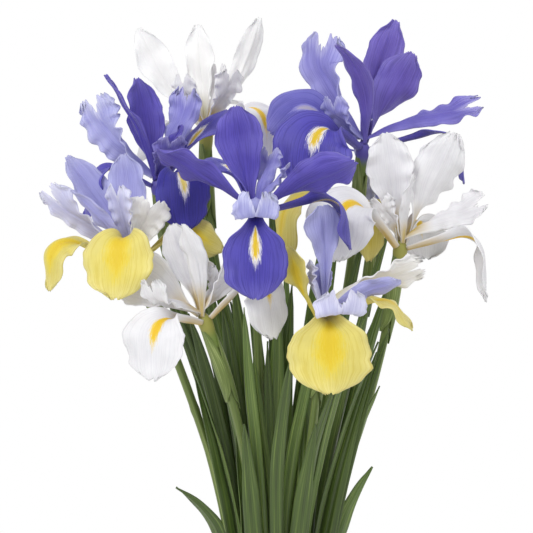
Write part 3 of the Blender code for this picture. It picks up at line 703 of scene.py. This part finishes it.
# ---- The standards --------------------------------------------------------------------------------------
# The three inner petals stand up between the falls: spoon-shaped, hooped along their length, with a pressed
# midrib, long wrinkles where they were folded in the bud, and a rippled margin.
STANDARD = dict(length=60, width=12, root=(2.5, 5.2), tip_round=.05, notch=.012, jag=.022, spread=0,
                outline=((0, .20), (.15, .30), (.38, .66), (.56, .94), (.70, 1.0), (.83, .90), (.93, .66),
                         (1, .34)),
                hoop=((0, -70), (.5, -36), (1, -16)), ripple=1.6, waves=3.4, swell=1.4, pleat=.18, pleats=4,
                rib=.5, rows=52, columns=28)


def standard_pitch(rise, end, turn):
    """A standard curves evenly from its claw to its tip."""
    return lambda u: rise + (end - rise) * u


blue_standard = petal_finish("blue_standard", "#5a4fb4", "#5044b0", "#6c62c2", "#35298a", .6)
violet_standard = petal_finish("violet_standard", "#6a5fb8", "#6656b4", "#8074c8", "#48398f", .6)
white_standard = petal_finish("white_standard", "#cdb464", "#e8e7ea", "#f2f1f3", "#cfccd6", .3)
# Painted light: a lighter copy of the white standard, worn by the back white flower's standards to stand for
# the light that shines through them.
painted_light_white_standard = petal_finish("painted_light_white_standard", "#e2dcb8", "#fcfbf9", "#ffffff", "#f0eeec", .2)
lilac_standard = petal_finish("lilac_standard", "#a09dd2", "#a3a4dc", "#c0c2ec", "#8280c2", .45)
SPOON = ((0, .12), (.2, .2), (.5, .42), (.74, .88), (.87, 1.0), (.95, .86), (1, .5))
STANDARDS = {
    "blue_centre": (((-130, 74, 82, .84, 1, -50, 0, 0), dict(finish=blue_standard)),
                    ((-78, 36, 28, .92, .9, 35, 0, 0), dict(finish=blue_standard, ripple=2.6, curl=(0, 40))),
                    ((56, 27, 20, 1, 1, -35, 0, 0), dict(finish=blue_standard, ripple=2.2, curl=(-50, 0)))),
    "blue_left": (((-150, 74, 82, .88, .9, -40, 60, 0), dict(finish=blue_standard)),
                  ((-32, 68, 58, 1, .6, 0, -66, 0), dict(finish=blue_standard)),
                  ((66, 72, 60, .5, .6, 30, 0, 0), dict(finish=blue_standard))),
    "blue_right": (((172, 66, 70, 1.12, .82, 75, -84, 0), dict(finish=violet_standard)),
                   ((140, 60, 60, .88, .95, -75, -90, 0), dict(finish=violet_standard)),
                   ((20, 84, 44, .95, .55, 20, -108, 0), dict(finish=violet_standard))),
    # This flower's standards wear the lighter copy of the white standard: painted light.
    "white_back": (((-100, 50, 66, 1.04, .72, -70, 0, 0), dict(finish=painted_light_white_standard)),
                   ((-165, 76, 84, .93, .65, -40, 20, 0), dict(finish=painted_light_white_standard)),
                   ((94, 58, 76, 1.06, .55, -70, 0, 0), dict(finish=painted_light_white_standard))),
    "white_front": (((-92, 38, 24, .84, 1.25, -70, 0, 0), dict(finish=white_standard)),
                    ((-140, 72, 60, .8, .8, -40, 10, 0), dict(finish=white_standard)),
                    ((-8, 82, 64, .8, .5, 30, -60, 0), dict(finish=white_standard))),
    "white_right": (((-118, 84, 82, .92, .98, -60, 0, 0), dict(finish=white_standard, ripple=2.8, waves=5)),
                    ((138, 58, 68, 1.03, 1.1, -70, -72, 0), dict(finish=white_standard, ripple=3.0, waves=5,
                                                                 jag=.05)),
                    ((18, 76, 76, .6, .5, 30, 30, 0), dict(finish=white_standard))),
    "lilac_left": (((-160, 86, 74, .86, .85, -50, 20, 0), dict(finish=lilac_standard)),
                   ((-38, 50, 42, .8, .4, 30, -45, 0), dict(finish=lilac_standard)),
                   ((-126, 61, 51, 1.0, .8, -50, 42, 0), dict(finish=lilac_standard))),
    "lilac_front": (((156, 82, 104, .84, .8, 30, 0, 0), dict(finish=lilac_standard, outline=SPOON,
                                                             curl=(70, 0))),
                    ((50, 28, 14, .72, .5, -40, 25, 0), dict(finish=lilac_standard)),
                    ((-170, 80, 76, .36, .5, 0, 0, 0), dict(finish=lilac_standard))),
    "lilac_back": (((28, 84, 90, .6, .6, 0, 0, 0), dict(finish=lilac_standard)),
                   ((160, 70, 76, .7, .8, 0, 0, 0), dict(finish=lilac_standard)),
                   ((-80, 74, 78, .7, .8, 0, 0, 0), dict(finish=lilac_standard))),
}
for name, petals in STANDARDS.items():
    for number, (spec, touch) in enumerate(petals):
        grow(name, "standards", number, spec, STANDARD, standard_pitch, touch)

# ---- The style arms -------------------------------------------------------------------------------------
# Three petal-like arms of the style arch out over the hafts of the falls.  Each has a keel down its back
# and ends in a crest of two lobes that rear up, paler than the petals and frayed along their margins.
STYLE = dict(length=50, width=8.5, root=(.75, 8.1), tip_round=.06, notch=.17, jag=.075, spread=1.2,
             outline=((0, .30), (.12, .46), (.4, .76), (.62, .86), (.8, 1.05), (.93, 1.0), (1, .66)),
             hoop=((0, 90), (.45, 62), (.68, 12), (1, -24)), ripple=1.9, waves=5.5, swell=.8, pleat=.2,
             pleats=4, rib=-.7, rows=50, columns=26)


def style_pitch(rise, end, turn):
    """A style arm arches over, and its crest rears up again by the turn."""
    return lambda u: rise + (end - rise) * smooth_step(.1, .6, u) + turn * smooth_step(.62, .80, u)


pale_blue_style = petal_finish("pale_blue_style", "#7672c4", "#8e8cd4", "#aeaee2", "#6662b8", .45,
                               tip="#bcbce8")
violet_style = petal_finish("violet_style", "#6258b6", "#6c64be", "#8a84d0", "#4c409e", .5,
                            tip="#a8a4de")
white_style = petal_finish("white_style", "#c9ac48", "#e8e7ea", "#f4f3f5", "#cdc9d2", .3)
crest_blue = petal_finish("crest_blue", "#7c7ac8", "#a6a8e0", "#c6c8f0", "#8482cc", .45, tip="#d2d4f4")
lilac_style = petal_finish("lilac_style", "#c3c2e0", "#c6c7ea", "#dfdff6", "#a2a0d0", .35)
cream_style = petal_finish("cream_style", "#d8d0a0", "#efece8", "#f7f5f3", "#cfcad2", .22)
STYLES = {
    "blue_centre": (((0, 14, -40, .94, 1.2, 0, 0, 124), dict(finish=crest_blue, jag=.12, notch=.24,
                                                             ripple=1.8, waves=5)),
                    ((84, 54, 40, .5, .7, 0, 0, 20), dict(finish=pale_blue_style)),
                    ((150, 66, 50, .6, .8, 0, 0, 20), dict(finish=pale_blue_style))),
    "blue_left": (((22, 44, 26, .6, .9, 0, 0, 30), dict(finish=violet_style)),
                  ((-88, 42, 46, 1.02, 1.7, 40, 0, 20), dict(finish=crest_blue, jag=.12, ripple=2.6,
                                                             waves=7)),
                  ((128, 66, 60, .95, 1, 40, -20, 20), dict(finish=pale_blue_style))),
    "blue_right": (((-60, 38, 34, .6, 1, 0, 15, 45), dict(finish=pale_blue_style)),
                   ((82, 25, 8, 1.24, .8, 50, 0, 12), dict(finish=violet_style)),
                   ((-120, 56, 58, 1.2, 1.6, 60, 24, 40), dict(finish=pale_blue_style))),
    "white_back": (((36, 52, 36, .74, .9, 0, 0, 40), dict(finish=white_style)),
                   ((-40, 54, 40, .65, .8, 0, 0, 40), dict(finish=white_style)),
                   ((142, 68, 68, .66, .8, 0, 0, 20), dict(finish=white_style))),
    "white_front": (((-46, 22, 4, .80, .95, 0, 0, 60), dict(finish=white_style)),
                    ((84, 56, 42, .58, .8, -50, 0, 10), dict(finish=white_style, jag=.02, notch=0,
                                                             ripple=.6)),
                    ((140, 52, 50, .5, .7, 0, 0, 20), dict(finish=white_style))),
    "white_right": (((70, 32, 14, .95, 1, 55, 0, 15), dict(finish=white_style)),
                    ((-58, 62, 46, .5, .7, 40, 0, 20), dict(finish=white_style)),
                    ((-176, 60, 40, .7, .7, 0, 0, 30), dict(finish=white_style))),
    "lilac_left": (((-16, 66, 58, .75, .8, 0, -20, 15), dict(finish=lilac_style)),
                   ((-82, 36, 32, 1.05, 1.05, 40, 0, 15), dict(finish=lilac_style)),
                   ((48, 64, 54, .6, 1.2, -30, 0, 10), dict(finish=cream_style))),
    "lilac_front": (((14, 16, -30, .92, 1.4, 0, 0, 112), dict(finish=lilac_style, jag=.06, notch=.22,
                                                              ripple=1.4, waves=4)),
                    ((92, 34, 8, 1.05, 1, -50, 0, 12), dict(finish=cream_style)),
                    ((-76, 76, 70, .44, .6, 0, 0, 10), dict(finish=lilac_style))),
    "lilac_back": (((-32, 56, 50, .5, .6, 0, 0, 10), dict(finish=lilac_style)),
                   ((100, 60, 50, .3, .5, 0, 0, 10), dict(finish=lilac_style)),
                   ((-144, 56, 40, .6, .6, 0, 0, 10), dict(finish=lilac_style))),
}
for name, petals in STYLES.items():
    for number, (spec, touch) in enumerate(petals):
        grow(name, "style_arms", number, spec, STYLE, style_pitch, touch)

# ---- The leaves -----------------------------------------------------------------------------------------
# Narrow grassy leaves, channelled along their middle and drawn out to a point.  Most clasp a stem low down
# and part from it higher up, and others stand loose in the bunch.  Fine fibres run up them all.
LEAF_ROWS, LEAF_COLUMNS = 46, 12
LEAF_THICKNESS = .45 * MM
LEAF_WAVE = .5 * MM
ROW_CORNERS = 6             # in a leaf's net: two at each margin and two in its middle
BLADE_OUTLINE = ((0, .80), (.2, 1.0), (.5, 1.0), (.8, .76), (.93, .42), (1, .05))
BLADE_HOOP = ((0, 60), (.25, 48), (.6, 34), (1, 15))
leaf_green = green_finish("leaf_green", "#2a380e", "#41561a", "#6c8038", .5, .38, 16)
fresh_green = green_finish("fresh_green", "#364814", "#526a26", "#8a9c4e", .5, .38, 16)
WILD_LEAVES = (     # the slot in the mouth, base, tip, half-width, side, stand-off, flare and sway, in mm
    ((-3, -24), 168, 296, 3.6, 10, 2, 4, 2), ((2, -19), 160, 306, 3.4, -20, 1, 3, 6),
    ((-8, -20), 165, 318, 3.6, -30, 1, 4, -4), ((7, -25), 170, 282, 3.2, 30, 1, 5, 4),
    ((-13, -14), 160, 304, 3.4, -60, 1, 8, 0), ((12, -13), 160, 312, 3.4, 60, 1, 7, 0),
    ((-1, -9), 158, 330, 3.6, 0, 0, 2, -6), ((5, -3), 158, 322, 3.4, 20, 0, 2, 8),
    ((-18, -9), 160, 292, 3.2, -80, 1, 9, 4), ((17, -8), 160, 300, 3.2, 70, 1, 9, -4),
    ((-6, 2), 156, 340, 3.4, -10, 0, 3, 4), ((3, 7), 156, 336, 3.4, 160, 0, 3, 4),
    ((-12, 12), 158, 330, 3.4, 200, 1, 6, 2), ((11, 14), 158, 326, 3.4, 150, 1, 6, 2),
    ((-2, 20), 160, 318, 3.4, 180, 1, 6, 3), ((-22, -2), 164, 272, 3.0, -50, 1, 8, 2),
    ((22, -3), 164, 276, 3.0, 50, 1, 8, 2), ((8, -17), 162, 268, 3.0, 0, 3, 2, -5),
    ((-16, 2), 158, 366, 3.6, 10, 1, 0, 4), ((-14, -4), 158, 352, 3.4, 0, 0, 0, -3),
    ((-11, 6), 158, 372, 3.4, 20, 1, 2, 2), ((-1, 10), 158, 368, 3.6, 0, 1, 2, 8),
    ((4, 0), 158, 352, 3.6, 0, 1, 2, 10), ((9, 4), 158, 362, 3.6, -20, 1, 2, 4),
    ((13, 2), 158, 352, 3.4, 10, 1, 2, 3), ((17, 4), 160, 356, 3.4, 30, 1, 2, 4),
    ((21, 5), 160, 330, 3.4, 20, 1, 4, 3), ((-20, 3), 160, 338, 3.4, -20, 1, 2, -3),
    ((-5, -14), 160, 292, 3.6, -10, 2, 2, -6), ((3, -12), 160, 288, 3.6, 10, 2, 2, 5),
    ((-14, -10), 160, 316, 4.6, -10, 1, 2, 2), ((-9, -7), 158, 332, 4.4, 10, 1, 2, -4),
    ((-4, -11), 158, 318, 4.6, 0, 1, 2, 3), ((2, -9), 158, 326, 4.4, -15, 1, 2, -3),
    ((7, -8), 158, 322, 4.6, 15, 1, 2, 4), ((12, -5), 158, 318, 4.4, 0, 1, 2, -2),
    ((-19, -3), 160, 312, 4.2, -20, 1, 3, 2), ((17, -2), 160, 306, 4.2, 20, 1, 3, -3),
)


def leaf_net(node_name):
    """The rows of a leaf in the frame: its two margins and its middle, from the base to the tip."""
    copy = bmesh.new()
    copy.from_mesh(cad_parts[node_name].data)
    bmesh.ops.remove_doubles(copy, verts=copy.verts, dist=WELD)
    corners = sorted((vert.co.copy() for vert in copy.verts), key=lambda point: point.z)
    copy.free()
    rows = []
    for i in range(0, len(corners) - ROW_CORNERS + 1, ROW_CORNERS):
        row = corners[i:i + ROW_CORNERS]
        middle = sum(row, Vector()) / ROW_CORNERS
        far = max(row, key=lambda point: (point - middle).length)
        way = (far - middle).normalized()
        if rows and way.dot(rows[-1][3]) < 0:
            way = -way
        row.sort(key=lambda point: (point - middle).dot(way))
        rows.append(((row[0] + row[1]) / 2, (row[2] + row[3]) / 2, (row[4] + row[5]) / 2, way))
    return rows


def leaf_shape(rows, seed, roll, widen):
    """A smooth leaf through the net's rows, a little waved and keeled, and rolled about its middle."""
    def at(column, u):
        place = u * (len(rows) - 1)
        i = min(len(rows) - 2, int(place))
        t = place - i
        a, b, c, d = [rows[max(0, min(len(rows) - 1, i + step))][column] for step in (-1, 0, 1, 2)]
        return .5 * (2 * b + (c - a) * t + (2 * a - 5 * b + 4 * c - d) * t * t
                     + (3 * b - a - 3 * c + d) * t ** 3)

    def shape(u, v):
        left, middle, right = at(0, u), at(1, u), at(2, u)
        point = left * (v * (v - 1) / 2) + middle * (1 - v * v) + right * (v * (v + 1) / 2)
        up = (at(1, min(1, u + .02)) - at(1, max(0, u - .02))).normalized()
        turn = Matrix.Rotation(math.radians(roll) * smooth_step(.2, .6, u), 3, up)
        point = middle + turn @ (point - middle) * widen
        across = turn @ (right - left).normalized()
        face = across.cross(up)
        wave = LEAF_WAVE * noise.noise(Vector((u * 6, v * .8, seed)))
        return point + face * (wave - .45 * MM * math.exp(-(v / .16) ** 2))
    return shape


def wild_shape(slot, base, tip, half, side, standoff, flare, sway, seed):
    """A leaf that stands off a place in the bunch, leans out and sways to one side."""
    outward = heading(side, 0)

    def shape(u, v):
        z = (base + (tip - base) * u) * MM
        point = bundle_point([part * MM for part in slot], z)
        along = (bundle_point([part * MM for part in slot], z + MM) - point).normalized()
        out = (outward - along * outward.dot(along)).normalized()
        across = along.cross(out)
        swing = noise.noise(Vector((u * 1.6, seed, 3)))
        point += out * (standoff + flare * u * u) * MM + across * (sway * u * u + 3 * swing) * MM
        width = half * MM * through(BLADE_OUTLINE, u)
        bend = math.radians(through(BLADE_HOOP, u))
        radius = width / bend
        point += across * radius * math.sin(bend * v) - out * radius * (1 - math.cos(bend * v))
        wave = LEAF_WAVE * noise.noise(Vector((u * 6, v * .8, seed)))
        return point + out * (wave - .4 * MM * math.exp(-(v / .16) ** 2))
    return shape


for number, (slot, base, tip, half, side, standoff, flare, sway) in enumerate(WILD_LEAVES):
    shape = wild_shape(slot, base, tip, half, side, standoff, flare, sway, number * 2.3 + .7)
    leaf = sheet(f"loose_blade_{number}", shape, LEAF_ROWS, LEAF_COLUMNS, LEAF_THICKNESS,
                 [fresh_green if number % 3 else leaf_green])
    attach(leaf, "root")

# Two leaves turn their broad side to the front: how far in degrees, and how much broader they are.
CURLED = {"lilac_left_leaf_1": (60, 1.35), "white_right_leaf_1": (-50, 1.2)}
leaf_nodes = sorted(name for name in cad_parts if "_leaf_" in name)
for number, name in enumerate(leaf_nodes):
    green = fresh_green if number % 4 == 2 else leaf_green
    roll, widen = CURLED.get(name, (0, 1))
    shape = leaf_shape(leaf_net(name), number * 3.7, roll, widen)
    leaf = sheet(name.replace("_leaf_", "_blade_"), shape, LEAF_ROWS, LEAF_COLUMNS, LEAF_THICKNESS, [green])
    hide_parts(name)
    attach(leaf, "root")

# ---- The studio -----------------------------------------------------------------------------------------
# A plain pale floor under a white sky, a large soft light high on the left and a weaker one on the right.
EYE_DISTANCE = 1.4806
EYE_TILT = math.radians(4)      # how far the eye looks down
AIM = Vector((-.00675, 0, .33325))
FLOOR_RADIUS = 1.1
FLOOR_COLOUR = (.86, .86, .85, 1)
SKY_LIGHT = .72
floor = bmesh.new()
bmesh.ops.create_circle(floor, cap_ends=True, segments=LATHE_STEPS, radius=FLOOR_RADIUS)
pale_floor, shader, node, join = finish("pale_floor", .7)
shader.inputs["Base Color"].default_value = FLOOR_COLOUR
ground = place(floor, "floor", [pale_floor], smooth=False)

world = bpy.data.worlds.new("white_sky")
world.use_nodes = True
sky = world.node_tree.nodes["Background"]
sky.inputs["Color"].default_value = grey(1)
backdrop = world.node_tree.nodes.new("ShaderNodeBackground")
choose = world.node_tree.nodes.new("ShaderNodeMixShader")
seen = world.node_tree.nodes.new("ShaderNodeLightPath")
sky.inputs["Strength"].default_value = SKY_LIGHT
backdrop.inputs["Color"].default_value = grey(1)
world.node_tree.links.new(seen.outputs["Is Camera Ray"], choose.inputs["Fac"])
world.node_tree.links.new(sky.outputs[0], choose.inputs[1])
world.node_tree.links.new(backdrop.outputs[0], choose.inputs[2])
world.node_tree.links.new(choose.outputs[0], world.node_tree.nodes["World Output"].inputs[0])
bpy.context.scene.world = world


def soft_light(name, spot, power, size):
    """A square softbox that looks at the blooms."""
    data = bpy.data.lights.new(name, "AREA")
    data.energy = power
    data.size = size
    made = bpy.data.objects.new(name, data)
    bpy.context.scene.collection.objects.link(made)
    made.location = spot
    made.rotation_euler = (AIM - Vector(spot)).to_track_quat("-Z", "Y").to_euler()


soft_light("key", (-.9, -1.3, 1.5), 18, .8)
soft_light("fill", (1.3, -.9, .7), 4, 1.2)
soft_light("rim", (.5, 1.4, 1.2), 6, 1.0)

eye = bpy.data.cameras.new("camera")
eye.lens = 200
eye.sensor_width = 36
camera = bpy.data.objects.new("camera", eye)
bpy.context.scene.collection.objects.link(camera)
camera.location = AIM + Vector((0, -math.cos(EYE_TILT), math.sin(EYE_TILT))) * EYE_DISTANCE
camera.rotation_euler = (math.pi / 2 - EYE_TILT, 0, 0)
bpy.context.scene.camera = camera
bpy.context.scene.view_settings.view_transform = "Standard"
